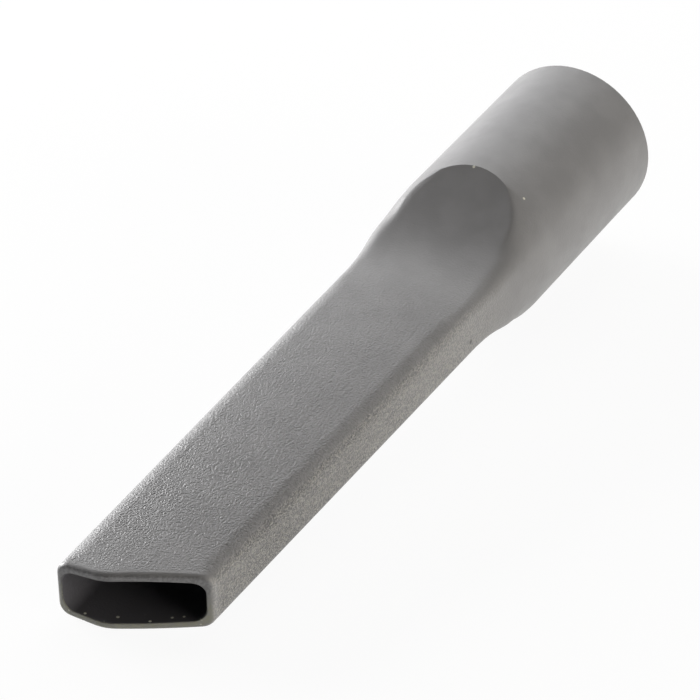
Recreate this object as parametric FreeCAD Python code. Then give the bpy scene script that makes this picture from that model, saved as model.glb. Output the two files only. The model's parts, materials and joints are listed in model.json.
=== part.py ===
"""A vacuum cleaner's crevice tool: one thin-walled plastic moulding.

A round socket, which pushes onto the wand, runs through a scooped shoulder into a flat duct with a
slanted mouth. The tool is drawn along its own axis, X from the socket end (0) to the mouth, and is
then laid down as it comes to rest, on the front of the barrel and the lower lip of the mouth.
"""
import FreeCAD, Part
import math
import os
from FreeCAD import Vector

# Socket and barrel
socket_bore_diameter = 35.0
socket_wall = 2.25
socket_depth = 42.0
socket_stop_step = 0.5
socket_lead_in = 0.8
barrel_draft_angle = 0.33
barrel_end_chamfer = 0.5
arch_position = 51.0

# Scooped shoulder between the round barrel and the flat duct
scoop_radius = 46.5
crease_run = 2.0
crease_fade = 14.0
shoulder_run = 16.5
shoulder_lean = 11.2
shoulder_centre_offset = 0.002
shoulder_corner_radius = 4.0
flare_lead = 4.0
shoulder_section_count = 9

# Flat duct and its mouth
overall_length = 204.5
duct_wall = 1.45
duct_roof_wall = 1.75
duct_width = 32.8
duct_height = 13.6
duct_corner_radius = 2.8
duct_crown = 0.7
mouth_width = 29.8
mouth_height = 12.8
passage_corner_radius = 2.8
side_crown_radius = 2000.0
mouth_bend_offset = 4.2
mouth_bend_radius = 9.0
mouth_slant_angle = 28.0
lip_rounding = 1.0
lip_inner_rounding = 0.3

# Lengths past a face, so that a cut runs clear of it
overrun = 10.0
joint_tolerance = 0.01

barrel_end_radius = socket_bore_diameter / 2 + socket_wall
barrel_slope = math.tan(math.radians(barrel_draft_angle))


def barrel_radius(x):
    """The outer radius of the barrel, which falls slightly from the socket end."""
    return barrel_end_radius - barrel_slope * x


scoop_rise = barrel_radius(arch_position) - duct_height / 2
scoop_run = math.sqrt(scoop_radius ** 2 - (scoop_radius - scoop_rise) ** 2)
scoop_end = arch_position + scoop_run
duct_start = scoop_end + flare_lead
shoulder_start = arch_position + crease_run
crease_end = shoulder_start + crease_fade
shoulder_end = shoulder_start + shoulder_run
mouth_slope = math.tan(math.radians(mouth_slant_angle))
mouth_start = overall_length - mouth_slope * (duct_width / 2 + mouth_bend_offset) - 2 * lip_rounding
passage_radius = socket_bore_diameter / 2 - socket_stop_step
barrel_wall = barrel_radius(socket_depth) - passage_radius


def along(x, start, end, first, last):
    """A straight change from one value to another between two places."""
    return first + (last - first) * (x - start) / (end - start)


def eased(x, start, end, first, last):
    """A change with level ends from one value to another between two places."""
    share = min(max((x - start) / (end - start), 0.0), 1.0)
    return first + (last - first) * share * share * (3 - 2 * share)


def wall_at(x, duct):
    """A wall's thickness, which eases from the barrel's to the given one of the duct."""
    return eased(x, shoulder_start, duct_start, barrel_wall, duct)


def half_width(x, inset):
    """Half the width of the tool: the barrel's radius, eased into the tapering duct."""
    duct = along(x, duct_start, overall_length, duct_width, mouth_width) / 2
    return eased(x, shoulder_start, duct_start, barrel_radius(x), duct) - inset


def half_height(x, inset):
    """Half the height: the scoop's arc up to the flat, then the flat's own taper."""
    if x >= scoop_end:
        return along(x, scoop_end, overall_length, duct_height, mouth_height) / 2 - inset
    centre_height = duct_height / 2 + scoop_radius
    return centre_height - math.sqrt((scoop_radius + inset) ** 2 - (scoop_end - x) ** 2)


def crown(x, inset):
    """Half the height that the rounded shoulder would have without the scoop, which it fades into."""
    if x >= crease_end:
        return half_height(x, inset)
    drop = shoulder_centre_offset * (1 - math.sin(math.radians(shoulder_lean)))
    first = barrel_radius(shoulder_start) - drop - inset
    last = half_height(crease_end, inset)
    centre_height = duct_height / 2 + scoop_radius
    fall = -(scoop_end - crease_end) / (centre_height - last)
    share = (x - shoulder_start) / crease_fade
    level = eased(x, shoulder_start, crease_end, first, last)
    return level + crease_fade * fall * (share ** 3 - share ** 2)


def side_radius(x, inset):
    """The radius of the side wall's bow: round at the barrel, nearly flat along the duct."""
    bow = eased(x, shoulder_start, scoop_end, 1 / barrel_radius(x), 1 / side_crown_radius)
    return 1 / bow - inset


def corner_radius(x, inset):
    """The rounding between side and top: the barrel's own round, closing to the duct's corner."""
    full_corner = barrel_radius(shoulder_start) - shoulder_centre_offset
    if x < shoulder_end:
        outer = eased(x, shoulder_start, shoulder_end, full_corner, shoulder_corner_radius)
    else:
        outer = eased(x, shoulder_end, duct_start, shoulder_corner_radius, duct_corner_radius)
    if inset == 0:
        return outer
    return max(outer - inset, passage_corner_radius)


def crown_angle(x):
    """The angle at which top and bottom bow out from their edges: none in the scoop, full on the duct."""
    return eased(x, crease_end, duct_start, 0, 2 * math.atan(2 * duct_crown / duct_width))


def bowed_curve(first, last, angle):
    """A smooth cubic across the axis that bows outwards, leaving and arriving at the given angle."""
    reach = (last - first) * (1 / (3 * math.cos(angle / 2) ** 2))
    ahead = reach * math.cos(angle)
    aside = Vector(0, reach.z, -reach.y) * math.sin(angle)
    curve = Part.BezierCurve()
    curve.setPoles([first, first + ahead + aside, last - ahead + aside, last])
    return curve.toShape()


def round_curve(x, centre, radius, first, last):
    """A circular curve across the axis, between two angles, as one smooth cubic."""
    def place(angle):
        return Vector(x, centre[0] + radius * math.cos(angle), centre[1] + radius * math.sin(angle))

    def heading(angle):
        return Vector(0, -math.sin(angle), math.cos(angle))

    reach = 4 / 3 * math.tan((last - first) / 4) * radius
    curve = Part.BezierCurve()
    curve.setPoles([place(first), place(first) + heading(first) * reach,
                    place(last) - heading(last) * reach, place(last)])
    return curve.toShape()


def section(x, hollow):
    """A cross-section of the outside or the hollow: crowned top and bottom, bowed sides, rounded corners."""
    inset = wall_at(x, duct_wall) if hollow else 0
    roof_inset = wall_at(x, duct_roof_wall) if hollow else 0
    bow = side_radius(x, inset)
    bow_y = half_width(x, inset) - bow
    corner = corner_radius(x, inset)
    corner_z = crown(x, roof_inset) - corner
    corner_y = bow_y + math.sqrt((bow - corner) ** 2 - corner_z ** 2)
    lean = math.atan2(corner_z, corner_y - bow_y)
    rise = crown_angle(x)
    share = min((half_height(x, roof_inset) - corner_z) / corner, 1.0)
    crease = min(math.asin(share), math.pi / 2 - rise)
    top_y = corner_y + corner * math.cos(crease)
    top_z = corner_z + corner * math.sin(crease)
    half = math.pi
    edges = [
        round_curve(x, (bow_y, 0), bow, -lean, 0),
        round_curve(x, (bow_y, 0), bow, 0, lean),
        round_curve(x, (corner_y, corner_z), corner, lean, crease),
        bowed_curve(Vector(x, top_y, top_z), Vector(x, -top_y, top_z), rise),
        round_curve(x, (-corner_y, corner_z), corner, half - crease, half - lean),
        round_curve(x, (-bow_y, 0), bow, half - lean, half),
        round_curve(x, (-bow_y, 0), bow, half, half + lean),
        round_curve(x, (-corner_y, -corner_z), corner, half + lean, half + crease),
        bowed_curve(Vector(x, -top_y, -top_z), Vector(x, top_y, -top_z), rise),
        round_curve(x, (corner_y, -corner_z), corner, -crease, -lean),
    ]
    return Part.Wire(edges)


def seam_below(round_solid):
    """A round solid on the axis, turned so that the seam of its skin lies underneath."""
    round_solid.rotate(Vector(0, 0, 0), Vector(1, 0, 0), 180)
    return round_solid


def barrel(start, hollow):
    """The barrel, outside or hollow, from a given start, with the two scoops cut into its front."""
    inset = barrel_wall if hollow else 0
    tube = Part.makeCone(barrel_radius(start) - inset, barrel_radius(shoulder_start) - inset,
                         shoulder_start - start, Vector(start, 0, 0), Vector(1, 0, 0))
    tube = seam_below(tube)
    places = [arch_position - crease_run, arch_position, shoulder_start]
    ramp = [Vector(x, 0, half_height(x, inset)) for x in places]
    roof = ramp[0].z + overrun
    front = shoulder_start + overrun
    corners = [ramp[2], Vector(front, 0, ramp[2].z), Vector(front, 0, roof),
               Vector(ramp[0].x, 0, roof), ramp[0]]
    edges = [Part.Arc(*ramp).toShape()]
    for first, last in zip(corners, corners[1:]):
        edges.append(Part.LineSegment(first, last).toShape())
    scoop = Part.Face(Part.Wire(edges)).extrude(Vector(0, 4 * barrel_end_radius, 0))
    scoop.translate(Vector(0, -2 * barrel_end_radius, 0))
    lower_scoop = scoop.mirror(Vector(0, 0, 0), Vector(0, 0, 1))
    return tube.cut([scoop, lower_scoop])


def form(start, hollow):
    """The tool's outside, or its hollow, as a solid from a given start to past the mouth."""
    last = shoulder_section_count - 1
    places = [along(k, 0, last, shoulder_start, duct_start) for k in range(shoulder_section_count)]
    shoulder = Part.makeLoft([section(x, hollow) for x in places], True, False)
    duct_places = [duct_start, mouth_start, overall_length + overrun]
    duct = Part.makeLoft([section(x, hollow) for x in duct_places], True, True)
    return barrel(start, hollow).fuse([shoulder, duct], joint_tolerance)


def behind_mouth():
    """The space behind the mouth: square across one side, slanted back across the other."""
    reach = 2 * barrel_end_radius
    outline = [Vector(-overrun, -reach, -reach), Vector(overall_length, -reach, -reach),
               Vector(overall_length, -mouth_bend_offset, -reach),
               Vector(overall_length - mouth_slope * (reach + mouth_bend_offset), reach, -reach),
               Vector(-overrun, reach, -reach)]
    block = Part.Face(Part.makePolygon(outline + outline[:1])).extrude(Vector(0, 0, 2 * reach))
    upright = [edge for edge in block.Edges if edge.BoundBox.ZLength > reach]
    bend = min(upright, key=lambda edge: edge.CenterOfMass.distanceToPoint(outline[2]))
    return block.makeFillet(mouth_bend_radius, [bend])


def rim_edges(solid, reach_y, reach_z):
    """The edges round the mouth that keep within a given reach of the axis."""
    rim = []
    for face in solid.Faces:
        first_u, last_u, first_v, last_v = face.ParameterRange
        facing = face.normalAt((first_u + last_u) / 2, (first_v + last_v) / 2)
        if face.BoundBox.XMin > duct_start and facing.x > 0.5 and abs(facing.z) < 1e-6:
            rim.extend(face.Edges)
    lone = [edge for edge in rim if sum(edge.isSame(other) for other in rim) == 1]
    return [edge for edge in lone
            if max(abs(point.Point.y) for point in edge.Vertexes) < reach_y
            and max(abs(point.Point.z) for point in edge.Vertexes) < reach_z]


def outer_body():
    """The moulding's outer form, with its mouth cut and both ends rounded."""
    body = form(0, False).common(behind_mouth()).removeSplitter()
    body = body.makeFillet(lip_rounding, rim_edges(body, barrel_end_radius, barrel_end_radius))
    rear = [edge for edge in body.Edges if edge.BoundBox.XMax < 1e-6]
    return body.makeChamfer(barrel_end_chamfer, rear)


def hollow():
    """The air way: the wand's bore with its lead-in, a stop, and the passage to the mouth."""
    bore_radius = socket_bore_diameter / 2
    axis = Vector(1, 0, 0)
    start = Vector(0, 0, 0)
    bore = Part.makeCylinder(bore_radius, socket_depth, start, axis)
    lead_in = Part.makeCone(bore_radius + socket_lead_in, bore_radius, 2 * socket_lead_in, start, axis)
    return seam_below(bore).fuse([seam_below(lead_in), form(socket_depth, True)])


def crevice_tool():
    """The whole moulding, along its own axis."""
    tool = outer_body().cut(hollow())
    inner_rim = rim_edges(tool, mouth_width / 2 - lip_rounding, mouth_height / 2 - lip_rounding)
    return tool.makeFillet(lip_inner_rounding, inner_rim)


def laid_down(tool):
    """The tool at rest: nose down, centred over the origin, on the floor."""
    drop = barrel_radius(arch_position) - section(overall_length, False).optimalBoundingBox(False, False).ZMax
    pitch = math.degrees(math.atan2(drop, overall_length - arch_position))
    tool.rotate(Vector(0, 0, 0), Vector(0, 1, 0), pitch)
    box = tool.optimalBoundingBox(True, False)
    tool.translate(Vector(-box.Center.x, -box.Center.y, -box.ZMin))
    return tool


os.makedirs("parts", exist_ok=True)
laid_down(crevice_tool().Solids[0]).exportStep("parts/crevice_tool.step")
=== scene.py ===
# %% [markdown]
# # A vacuum crevice tool
# The tool is one plastic moulding: a round barrel that pushes onto a tube, a scooped shoulder and a
# flat duct with a slanted mouth. Its shape comes from the CAD frame, which is loaded first, so every
# place in this lesson is measured from that frame.

# %% Load the frame
import json
import math
import bpy
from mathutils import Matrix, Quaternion, Vector

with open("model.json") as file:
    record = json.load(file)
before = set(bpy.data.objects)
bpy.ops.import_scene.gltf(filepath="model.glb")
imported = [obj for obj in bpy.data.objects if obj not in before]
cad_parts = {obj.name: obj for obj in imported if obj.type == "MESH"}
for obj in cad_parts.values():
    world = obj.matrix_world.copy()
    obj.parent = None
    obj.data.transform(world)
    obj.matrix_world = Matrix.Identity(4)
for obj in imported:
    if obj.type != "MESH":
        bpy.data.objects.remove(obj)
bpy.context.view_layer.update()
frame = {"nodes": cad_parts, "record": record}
tool = frame["nodes"]["crevice_tool"]

# %% [markdown]
# The tool lies nose down, so its own axis is tilted a little against the floor. The socket's mount in
# the record gives that axis. A material that follows the tool needs the axis's tilt and the point where
# the axis leaves the barrel's open end: from there, distances along the tool are plain numbers.

# %% Find the tool's own axis
socket = frame["record"]["mounts"][0]
axis_out = Vector(socket["axis"]).normalized()
tilt = math.asin(axis_out.z)
lead_in_length = 0.0016
reach = socket["dims"]["length_mm"] / 2000 + lead_in_length
rear_centre = Vector(socket["pos_m"]) + reach * axis_out
tool_length = 0.2045
print("tilt in degrees:", round(math.degrees(tilt), 2), "rear centre:", [round(v, 4) for v in rear_centre])

# %% [markdown]
# ## Camera
# The picture was taken from in front of the mouth, from above and from the tool's right, with a long lens
# that hardly spreads the lines. The camera is placed first, because all the rest is judged through it.

# %% Place the camera
camera_place = Vector((0.5694, 0.2951, 0.3801))
camera_aim = Vector((-0.0036, -0.0071, 0.0113))
camera_roll = math.radians(1.68)
camera = bpy.data.objects.new("camera", bpy.data.cameras.new("camera"))
bpy.context.scene.collection.objects.link(camera)
bpy.context.scene.camera = camera
camera.data.sensor_width = 36.0
camera.data.lens = 174.86
camera.location = camera_place
camera.rotation_mode = "QUATERNION"
level_view = (camera_aim - camera_place).to_track_quat("-Z", "Y")
camera.rotation_quaternion = level_view @ Quaternion((0, 0, 1), camera_roll)
print("camera distance in m:", round((camera_aim - camera_place).length, 3))

# %% [markdown]
# ## Charcoal plastic
# The moulding is charcoal grey and satin. Its mould was etched, so the duct has a fine leather-like grain.
# The barrel is smoother, and the grain fades out on the lip round the mouth, which use has scuffed dark. All
# of this is one material, because it is one piece of plastic: masks in the tool's own coordinates say where
# each finish begins. A few small helpers keep the wiring readable. The first three make nodes and links.

# %% Helpers that wire nodes
def add_node(tree, kind, values=None, **settings):
    """A node of the given kind, with its settings and the values of its input sockets."""
    node = tree.nodes.new(kind)
    for name, value in settings.items():
        setattr(node, name, value)
    for socket_name, value in (values or {}).items():
        node.inputs[socket_name].default_value = value
    return node


def join(tree, source, target):
    """A link from an output socket to an input socket."""
    tree.links.new(source, target)


def feed(tree, value, target):
    """A link if the value is a socket, or else a plain number or colour in the input socket."""
    if isinstance(value, bpy.types.NodeSocket):
        join(tree, value, target)
    else:
        target.default_value = value


print("helpers for nodes and links are ready")

# %% [markdown]
# The next helpers work with masks, which are numbers from 0 (off) to 1 (on) at each point of the surface. Two
# masks multiplied are on where both are on, and the larger of two is on where either is. A Mix node has
# sockets for numbers, vectors and colours side by side, so a small table says which ones belong together.

# %% Helpers for masks and blends
mix_sockets = {"FLOAT": (2, 0), "VECTOR": (4, 1), "RGBA": (6, 2)}


def calculate(tree, operation, first, second=0.0):
    """The output of a Math node whose inputs are sockets or plain numbers."""
    node = add_node(tree, "ShaderNodeMath", operation=operation)
    feed(tree, first, node.inputs[0])
    feed(tree, second, node.inputs[1])
    return node.outputs[0]


def all_of(tree, mask, *others):
    """A mask that is on where all the given masks are on."""
    for other in others:
        mask = calculate(tree, "MULTIPLY", mask, other)
    return mask


def any_of(tree, mask, *others):
    """A mask that is on where at least one of the given masks is on."""
    for other in others:
        mask = calculate(tree, "MAXIMUM", mask, other)
    return mask


def remap(tree, value, start, end, first=0.0, last=1.0, kind="SMOOTHSTEP"):
    """A value that goes from first to last while its input goes from start to end."""
    limits = {"From Min": start, "From Max": end, "To Min": first, "To Max": last}
    node = add_node(tree, "ShaderNodeMapRange", limits, interpolation_type=kind)
    join(tree, value, node.inputs["Value"])
    return node.outputs["Result"]


def blend(tree, mask, first, second, kind="RGBA"):
    """A colour, vector or number that goes from the first to the second where the mask is on."""
    first_input, output = mix_sockets[kind]
    node = add_node(tree, "ShaderNodeMix", data_type=kind)
    feed(tree, mask, node.inputs[0])
    feed(tree, first, node.inputs[first_input])
    feed(tree, second, node.inputs[first_input + 1])
    return node.outputs[output]


print("kinds of blend:", ", ".join(mix_sockets))

# %% [markdown]
# ### Coordinates along the tool
# A Mapping node turns the pattern's coordinates by the tool's tilt and starts them at the socket end. Then x
# is the distance along the tool, y is across it and z is above its axis.

# %% Start the material
plastic = bpy.data.materials.new("charcoal_plastic")
plastic.use_nodes = True
tree = plastic.node_tree
shader = tree.nodes["Principled BSDF"]
coordinates = add_node(tree, "ShaderNodeTexCoord")
along_tool = add_node(tree, "ShaderNodeMapping", vector_type="TEXTURE")
along_tool.inputs["Location"].default_value = rear_centre
along_tool.inputs["Rotation"].default_value = (0.0, tilt, 0.0)
join(tree, coordinates.outputs["Object"], along_tool.inputs["Vector"])
spot = along_tool.outputs["Vector"]
place = add_node(tree, "ShaderNodeSeparateXYZ")
join(tree, spot, place.inputs["Vector"])
x, y, z = (place.outputs[name] for name in "XYZ")
from_middle = calculate(tree, "ABSOLUTE", y)
print("coordinates run from the socket end to the mouth:", tool_length, "m")

# %% [markdown]
# The mouth is square on one side and slants back on the other. So the distance behind the lip is the distance
# to the square end, less what the slant takes away beyond its bend.

# %% Distance behind the lip
bend_offset = 0.0042
slant_angle = 28.0
mouth_slope = math.tan(math.radians(slant_angle))
past_bend = calculate(tree, "MAXIMUM", calculate(tree, "ADD", y, bend_offset), 0.0)
cut_back = calculate(tree, "MULTIPLY", past_bend, mouth_slope)
square_distance = calculate(tree, "SUBTRACT", tool_length, x)
behind_lip = calculate(tree, "SUBTRACT", square_distance, cut_back)
print("the mouth slants by", slant_angle, "degrees")

# %% [markdown]
# ### Where each finish is
# Painted vertex colours could say where each finish is, but the CAD mesh is left alone, and it has no points
# where the finishes begin. So masks are worked out from the coordinates and the normal. Each pair of numbers
# is where a mask starts and where it is full. The inside is told from the outside by its normal, which points
# at the axis there.

# %% Inside and outside
inward = (-0.0005, -0.003)
facing = add_node(tree, "ShaderNodeNewGeometry")
normal = add_node(tree, "ShaderNodeSeparateXYZ")
join(tree, facing.outputs["Normal"], normal.inputs["Vector"])
sideways = calculate(tree, "MULTIPLY", normal.outputs["Y"], y)
upwards = calculate(tree, "MULTIPLY", normal.outputs["Z"], z)
inside = remap(tree, calculate(tree, "ADD", sideways, upwards), *inward)
outside = calculate(tree, "SUBTRACT", 1.0, inside)
print("masks made: inside, outside")

# %% [markdown]
# The grain starts where the scoop runs out into the duct, is at its deepest towards the mouth and fades out
# at the lip. The lip's face is found by a normal that points forward, close to the end.

# %% Grained duct and lip
scoop_end = (0.066, 0.096)
smooth_rim = (0.0004, 0.0030)
deeper_grain = (0.085, 0.165)
shallow_share = 0.4
easing_rim = (0.005, 0.020)
eased_share = 0.7
scuffed_rim = (0.0022, 0.0008)
forward = (0.45, 0.9)
on_duct = remap(tree, x, *scoop_end)
clear_of_lip = remap(tree, behind_lip, *smooth_rim)
deepening = remap(tree, x, *deeper_grain, shallow_share, 1.0, kind="LINEAR")
easing_off = remap(tree, behind_lip, *easing_rim, eased_share, 1.0)
grained = all_of(tree, on_duct, clear_of_lip, deepening, easing_off)
at_lip = remap(tree, behind_lip, *scuffed_rim)
lip_face = all_of(tree, remap(tree, normal.outputs["X"], *forward), at_lip)
print("masks made: duct, grain, lip")

# %% [markdown]
# ### Soft long edges
# The duct's long edges are soft, so light rolls over them more widely than over the crisper edge of the
# solid. The form stays as it is. Only the normal that the light meets turns a little earlier: near an edge it
# points away from a line inside the duct, as it would on an edge of 4.2 mm radius.

# %% Normal of a rounder edge
soft_radius = 0.0042
crown_lead = 0.0003
duct_from = 0.083
duct_half_widths = (0.0164, 0.0149)
duct_half_heights = (0.0068, 0.0064)
half_width = remap(tree, x, duct_from, tool_length, *duct_half_widths, kind="LINEAR")
half_height = remap(tree, x, duct_from, tool_length, *duct_half_heights, kind="LINEAR")
from_side = calculate(tree, "SUBTRACT", from_middle, half_width)
from_top = calculate(tree, "SUBTRACT", calculate(tree, "ABSOLUTE", z), half_height)
outward = calculate(tree, "MAXIMUM", calculate(tree, "ADD", from_side, soft_radius + crown_lead), 0.0)
upward = calculate(tree, "MAXIMUM", calculate(tree, "ADD", from_top, soft_radius), 0.0)
round_edge = add_node(tree, "ShaderNodeCombineXYZ")
join(tree, calculate(tree, "MULTIPLY", outward, calculate(tree, "SIGN", y)), round_edge.inputs["Y"])
join(tree, calculate(tree, "MULTIPLY", upward, calculate(tree, "SIGN", z)), round_edge.inputs["Z"])
turned = add_node(tree, "ShaderNodeMapping", {"Rotation": (0.0, tilt, 0.0)}, vector_type="VECTOR")
join(tree, round_edge.outputs["Vector"], turned.inputs["Vector"])
edge_normal = add_node(tree, "ShaderNodeVectorMath", operation="NORMALIZE")
join(tree, turned.outputs["Vector"], edge_normal.inputs[0])
print("edges softened to a radius of", 1000 * soft_radius, "mm")

# %% [markdown]
# The arched crease is crisp in the middle and softens down its flanks, where a Bevel node blends the normals
# of its two sides. That comes first, and the duct's edges then take the rounder normal.

# %% Softened normal
crease_flank = (0.006, 0.012)
flank_rear = (0.048, 0.052)
flank_front = (0.090, 0.078)
crease_softness = 0.0025
on_crease = all_of(tree, remap(tree, x, *flank_front), remap(tree, x, *flank_rear))
on_flank = all_of(tree, remap(tree, from_middle, *crease_flank), on_crease)
bevel = add_node(tree, "ShaderNodeBevel", {"Radius": crease_softness}, samples=4)
flank_normal = blend(tree, on_flank, facing.outputs["Normal"], bevel.outputs["Normal"], "VECTOR")

blend_before, blend_after = 0.0006, 0.0012
edge_blend = (-soft_radius - blend_before, -soft_radius + blend_after)
full_duct = (duct_from, 0.100)
crisp_rim = (0.0015, 0.006)
near_edge = all_of(tree, remap(tree, from_side, *edge_blend), remap(tree, x, *full_duct))
softened = all_of(tree, near_edge, remap(tree, behind_lip, *crisp_rim), outside)
soft_normal = blend(tree, softened, flank_normal, edge_normal.outputs["Vector"], "VECTOR")
print("crease softened by", 1000 * crease_softness, "mm on its flanks")

# %% [markdown]
# ### Grain
# An etched mould leaves small round pebbles of about four tenths of a millimetre, with wrinkles between
# them. As a mesh they would take millions of faces, so they are a bump. A Voronoi texture gives the pebbles
# and a Noise texture the wrinkles, and together they are the grain's height.

# %% Grain pattern
def noise(tree, vector, scale, detail=2.0):
    """The grey output of a Noise texture with the given number of features to a metre."""
    node = add_node(tree, "ShaderNodeTexNoise", {"Scale": scale, "Detail": detail})
    join(tree, vector, node.inputs["Vector"])
    return node.outputs["Fac"]


def cells(tree, vector, scale, feature="F1"):
    """A Voronoi texture with the given number of cells to a metre."""
    node = add_node(tree, "ShaderNodeTexVoronoi", {"Scale": scale}, feature=feature)
    join(tree, vector, node.inputs["Vector"])
    return node


pebbles_per_metre = 2700.0
wrinkles_per_metre = 1900.0
wrinkle_detail = 1.5
pebble_share = 0.7
pebbles = cells(tree, spot, pebbles_per_metre, "SMOOTH_F1").outputs["Distance"]
wrinkles = noise(tree, spot, wrinkles_per_metre, wrinkle_detail)
grain = calculate(tree, "SUBTRACT", wrinkles, calculate(tree, "MULTIPLY", pebbles, pebble_share))
print("pebbles to a metre:", pebbles_per_metre)

# %% [markdown]
# The grain looks deeper on the duct's sides than on its top, and the passage has hardly any. Away from the
# duct only a trace of the height is left, which is the barrel's satin. The height feeds one Bump node, which
# starts from the softened normal.

# %% Grain height
grain_depth = 0.00032
satin_trace = 0.06
side_depth = 2.4
inside_depth = 0.1
side_wall = (0.6, 0.95)
on_side = remap(tree, calculate(tree, "ABSOLUTE", normal.outputs["Y"]), *side_wall)
outer_share = remap(tree, grained, 0.0, 1.0, satin_trace, 1.0, kind="LINEAR")
side_share = remap(tree, on_side, 0.0, 1.0, 1.0, side_depth)
inner_share = remap(tree, inside, 0.0, 1.0, 1.0, inside_depth)
height = calculate(tree, "MULTIPLY", grain, all_of(tree, outer_share, side_share, inner_share))
bump = add_node(tree, "ShaderNodeBump", {"Strength": 1.0, "Distance": grain_depth})
join(tree, height, bump.inputs["Height"])
join(tree, soft_normal, bump.inputs["Normal"])
join(tree, bump.outputs["Normal"], shader.inputs["Normal"])
print("grain depth in mm:", 1000 * grain_depth)

# %% [markdown]
# ### Colour
# Real plastic is never one flat grey: the flow in the mould leaves faint clouds. The valleys of the grain are
# painted darker as shade, and on the duct's sides the grain's tops are painted pale and warm, as a highlight
# of light from the floor. The inside is the same plastic, painted dark as shade, since little light gets in.
# Each of these is one more blend over the colour before it, so a finish can be changed without touching the
# others.

# %% Body colour
charcoal = (0.187, 0.184, 0.187, 1.0)
clouded_charcoal = (0.208, 0.205, 0.208, 1.0)
painted_valley_shade_colour = (0.090, 0.089, 0.090, 1.0)
painted_side_light_colour = (0.34, 0.33, 0.303, 1.0)
painted_inside_shade_colour = (0.066, 0.064, 0.071, 1.0)
valley_shade_share = 0.38
painted_side_light_share = 0.6
valley_heights = (0.30, 0.05)
top_heights = (0.12, 0.30)
clouds_per_metre = 110.0
cloud_detail = 3.0
cloud_edges = (0.35, 0.65)
clouds = remap(tree, noise(tree, spot, clouds_per_metre, cloud_detail), *cloud_edges)
body_colour = blend(tree, clouds, charcoal, clouded_charcoal)
# Painted shade: the grain's valleys are painted darker, as shade in the grain.
painted_valley_shade = all_of(tree, remap(tree, grain, *valley_heights), grained, valley_shade_share)
body_colour = blend(tree, painted_valley_shade, body_colour, painted_valley_shade_colour)
# Painted highlight: the grain's tops on the duct's sides are painted pale and warm, as light from the floor.
painted_side_light = all_of(tree, remap(tree, grain, *top_heights), on_side, on_duct, painted_side_light_share)
body_colour = blend(tree, painted_side_light, body_colour, painted_side_light_colour)
# Painted shade: the inside is painted dark, where little light gets in.
body_colour = blend(tree, inside, body_colour, painted_inside_shade_colour)
print("body colour made from clouds, valleys, rubbed tops and the inside")

# %% [markdown]
# The upper lip is scuffed dark, and the lower one is painted pale olive, as a painted reflection of warm
# light from the floor. The scuffs are uneven, so a fine noise breaks them up.

# %% Lip colour
lower_lip_painted_light_colour = (0.200, 0.198, 0.152, 1.0)
upper_lip_colour = (0.100, 0.099, 0.101, 1.0)
upper_half = (-0.0045, 0.0045)
scuffs_per_metre = 1500.0
scuff_edges = (0.4, 0.6)
faint_scuff = 0.5
scuffs = remap(tree, noise(tree, spot, scuffs_per_metre), *scuff_edges, faint_scuff, 1.0)
# Painted reflection: the lower lip is painted pale olive, as warm light from the floor would tint it.
lip_colour = blend(tree, remap(tree, z, *upper_half), lower_lip_painted_light_colour, upper_lip_colour)
body_colour = blend(tree, all_of(tree, lip_face, scuffs), body_colour, lip_colour)
print("lip colour made for the upper and the lower lip")

# %% [markdown]
# ### Specks
# A few pale specks of dust lie on the outside, with a dark nick in the right side, and pale glints are
# painted along the lower lip as painted highlights. They are only a few pixels wide in the picture, so colour
# is enough
# for them. One helper makes a mark at a point. The other scatters spots over the cells of a Voronoi texture:
# each cell has a random tone, which picks the few that get a spot.

# %% Helpers for spots
def spot_mask(tree, vector, point, radius, core=0.6):
    """A mask that is on near one point: it starts at the radius and is full at the core's share of it."""
    node = add_node(tree, "ShaderNodeVectorMath", {1: point}, operation="DISTANCE")
    join(tree, vector, node.inputs[0])
    return remap(tree, node.outputs["Value"], radius, core * radius)


def scatter(tree, vector, scale, spot_edge, chosen):
    """Spots in the middle of those cells whose random tone is chosen."""
    texture = cells(tree, vector, scale)
    tone = add_node(tree, "ShaderNodeSeparateColor")
    join(tree, texture.outputs["Color"], tone.inputs["Color"])
    picked = remap(tree, tone.outputs["Red"], *chosen)
    return all_of(tree, remap(tree, texture.outputs["Distance"], *spot_edge), picked)


print("helpers for spots are ready")

# %% [markdown]
# The nick and two of the specks sit where the picture shows them, so they are placed one by one, at points on
# the tool. The rest of the dust is scattered.

# %% Nick and dust
nick_place = (0.0863, 0.0163, -0.0020)
nick_radius = 0.0008
nick_colour = (0.070, 0.069, 0.068, 1.0)
speck_places = ((0.0512, -0.0008, 0.0192), (0.0522, 0.0123, 0.0151))
speck_radius = 0.0004
dust_cells_per_metre = 70.0
dust_edge = (0.016, 0.009)
dusty_cells = (0.80, 0.82)
nick = spot_mask(tree, spot, nick_place, nick_radius)
body_colour = blend(tree, all_of(tree, nick, scuffs), body_colour, nick_colour)
dust = scatter(tree, spot, dust_cells_per_metre, dust_edge, dusty_cells)
for speck_place in speck_places:
    dust = any_of(tree, dust, spot_mask(tree, spot, speck_place, speck_radius))
print("marks placed by hand:", 1 + len(speck_places))

# %% [markdown]
# The painted glints lie at the lower lip, so their spots are kept only near the end, low down, on the inside
# and on the lip's face. Then the dust and the painted glints are blended over the body colour.

# %% Painted glints along the lower lip
dust_and_glint_colour = (0.62, 0.61, 0.52, 1.0)
glint_rim = (0.0035, 0.0015)
glint_floor = (-0.0040, -0.0046)
glint_cells_per_metre = 700.0
glint_edge = (0.30, 0.18)
glint_cells = (0.55, 0.6)
on_rim = all_of(tree, remap(tree, behind_lip, *glint_rim), remap(tree, z, *glint_floor))
# Painted highlight: pale glints are painted along the lower lip, on the inside and on the lip's face.
painted_glints = all_of(tree, scatter(tree, spot, glint_cells_per_metre, glint_edge, glint_cells), on_rim)
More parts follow.
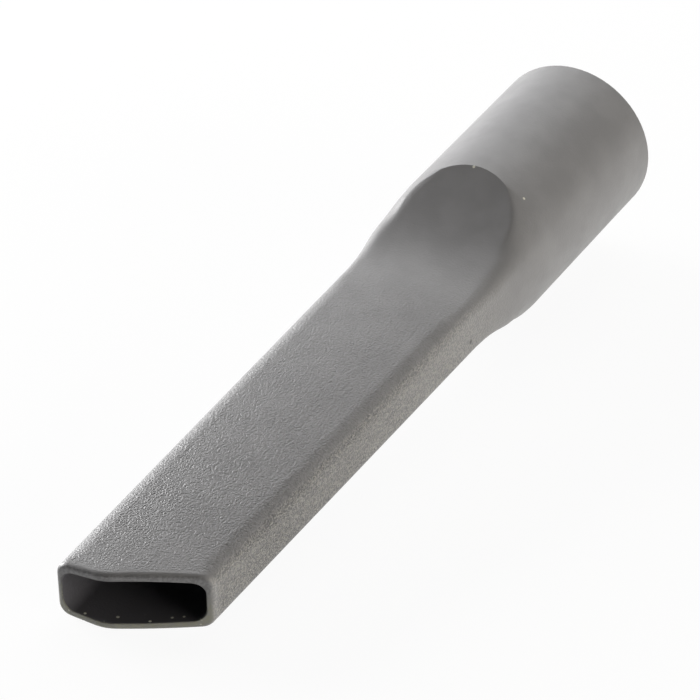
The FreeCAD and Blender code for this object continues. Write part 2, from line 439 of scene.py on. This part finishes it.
# The dust specks are real; the glints along the lower lip are painted highlights.
dust_and_glints = any_of(tree, dust, all_of(tree, painted_glints, any_of(tree, inside, lip_face)))
body_colour = blend(tree, dust_and_glints, body_colour, dust_and_glint_colour)
join(tree, body_colour, shader.inputs["Base Color"])
print("base colour joined, with dust and grit")

# %% [markdown]
# ### Sheen
# The barrel is satin and a little uneven, the grained duct is duller, and the inside, the dust and the
# painted glints are dullest. The finished material goes into the tool's own slot.

# %% Roughness
satin_roughness = (0.40, 0.47)
grained_roughness = 0.5
dusty_roughness = 0.8
patches_per_metre = 260.0
patch_edges = (0.3, 0.7)
patches = noise(tree, spot, patches_per_metre)
satin = remap(tree, patches, *patch_edges, *satin_roughness, kind="LINEAR")
sheen = blend(tree, grained, satin, grained_roughness, "FLOAT")
sheen = blend(tree, any_of(tree, inside, dust_and_glints), sheen, dusty_roughness, "FLOAT")
join(tree, sheen, shader.inputs["Roughness"])
shader.inputs["IOR"].default_value = 1.5
shader.inputs["Specular IOR Level"].default_value = 0.75
tool.data.materials.clear()
tool.data.materials.append(plastic)
print("material on:", tool.name, "with", len(tree.nodes), "nodes")

# %% [markdown]
# ## Studio
# The picture was lit from low on both sides and a little from behind, and the side towards the camera was
# dark. So the barrel is bright along its left edge, darkens over the top and brightens again to the right.
# The floor is white paper that shows nearly plain white to the camera and still keeps the tool's shadow.

# %% Floor
floor_size = 12.0
plain_white_share = 0.93
bpy.ops.mesh.primitive_plane_add(size=floor_size, location=(0, 0, 0))
floor = bpy.context.object
floor.name = "floor"
paper = bpy.data.materials.new("white_paper")
paper.use_nodes = True
paper_tree = paper.node_tree
paper_shader = paper_tree.nodes["Principled BSDF"]
paper_shader.inputs["Base Color"].default_value = (0.92, 0.92, 0.92, 1.0)
paper_shader.inputs["Roughness"].default_value = 0.9
path = add_node(paper_tree, "ShaderNodeLightPath")
seen_by = ("Is Camera Ray", "Is Glossy Ray", "Is Transmission Ray")
seen = any_of(paper_tree, *(path.outputs[name] for name in seen_by))
white = add_node(paper_tree, "ShaderNodeEmission", {"Color": (1.0, 1.0, 1.0, 1.0), "Strength": 1.0})
paper_mix = add_node(paper_tree, "ShaderNodeMixShader")
join(paper_tree, all_of(paper_tree, seen, plain_white_share), paper_mix.inputs["Fac"])
join(paper_tree, paper_shader.outputs["BSDF"], paper_mix.inputs[1])
join(paper_tree, white.outputs["Emission"], paper_mix.inputs[2])
join(paper_tree, paper_mix.outputs["Shader"], paper_tree.nodes["Material Output"].inputs["Surface"])
floor.data.materials.append(paper)
print("floor made, in m:", floor_size)

# %% [markdown]
# Each softbox is a square lamp that faces the tool. A small lamp would leave hard glints on the satin, and a
# large one gives the broad, soft bands of light that the barrel shows. The right-hand one is a little warm,
# and it shows no glare on the top when the tool is seen from the left.

# %% Lamps
softbox_size = 0.8
warm_white = (1.0, 0.965, 0.89)


def softbox(name, place, power, colour=(1.0, 1.0, 1.0)):
    """A square soft lamp that faces the tool from the given place."""
    lamp = bpy.data.lights.new(name, "AREA")
    lamp.shape = "SQUARE"
    lamp.size = softbox_size
    lamp.energy = power
    lamp.color = colour
    holder = bpy.data.objects.new(name, lamp)
    bpy.context.scene.collection.objects.link(holder)
    holder.location = place
    holder.rotation_mode = "QUATERNION"
    holder.rotation_quaternion = (-Vector(place)).to_track_quat("-Z", "Y")
    return holder


softbox("left_softbox", (-0.1, -1.1, 0.15), 35.0)
softbox("back_left_softbox", (-0.9, -0.7, 0.3), 3.6)
softbox("back_softbox", (-1.1, 0.0, 0.4), 2.6)
softbox("top_softbox", (-0.7, -0.2, 0.9), 3.7)
right_softbox = softbox("right_softbox", (0.1, 1.1, 0.12), 16.5, warm_white)
right_softbox.visible_glossy = False
print("lamps:", len(bpy.data.lights))

# %% [markdown]
# The room round the lamps is nearly dark, and the colours are shown as they are, with the Standard view.

# %% World
room_light = 0.03
world = bpy.data.worlds.new("dim_room")
world.use_nodes = True
bpy.context.scene.world = world
background = world.node_tree.nodes["Background"]
background.inputs["Color"].default_value = (1.0, 1.0, 1.0, 1.0)
background.inputs["Strength"].default_value = room_light
bpy.context.scene.view_settings.view_transform = "Standard"
print("world light:", room_light)
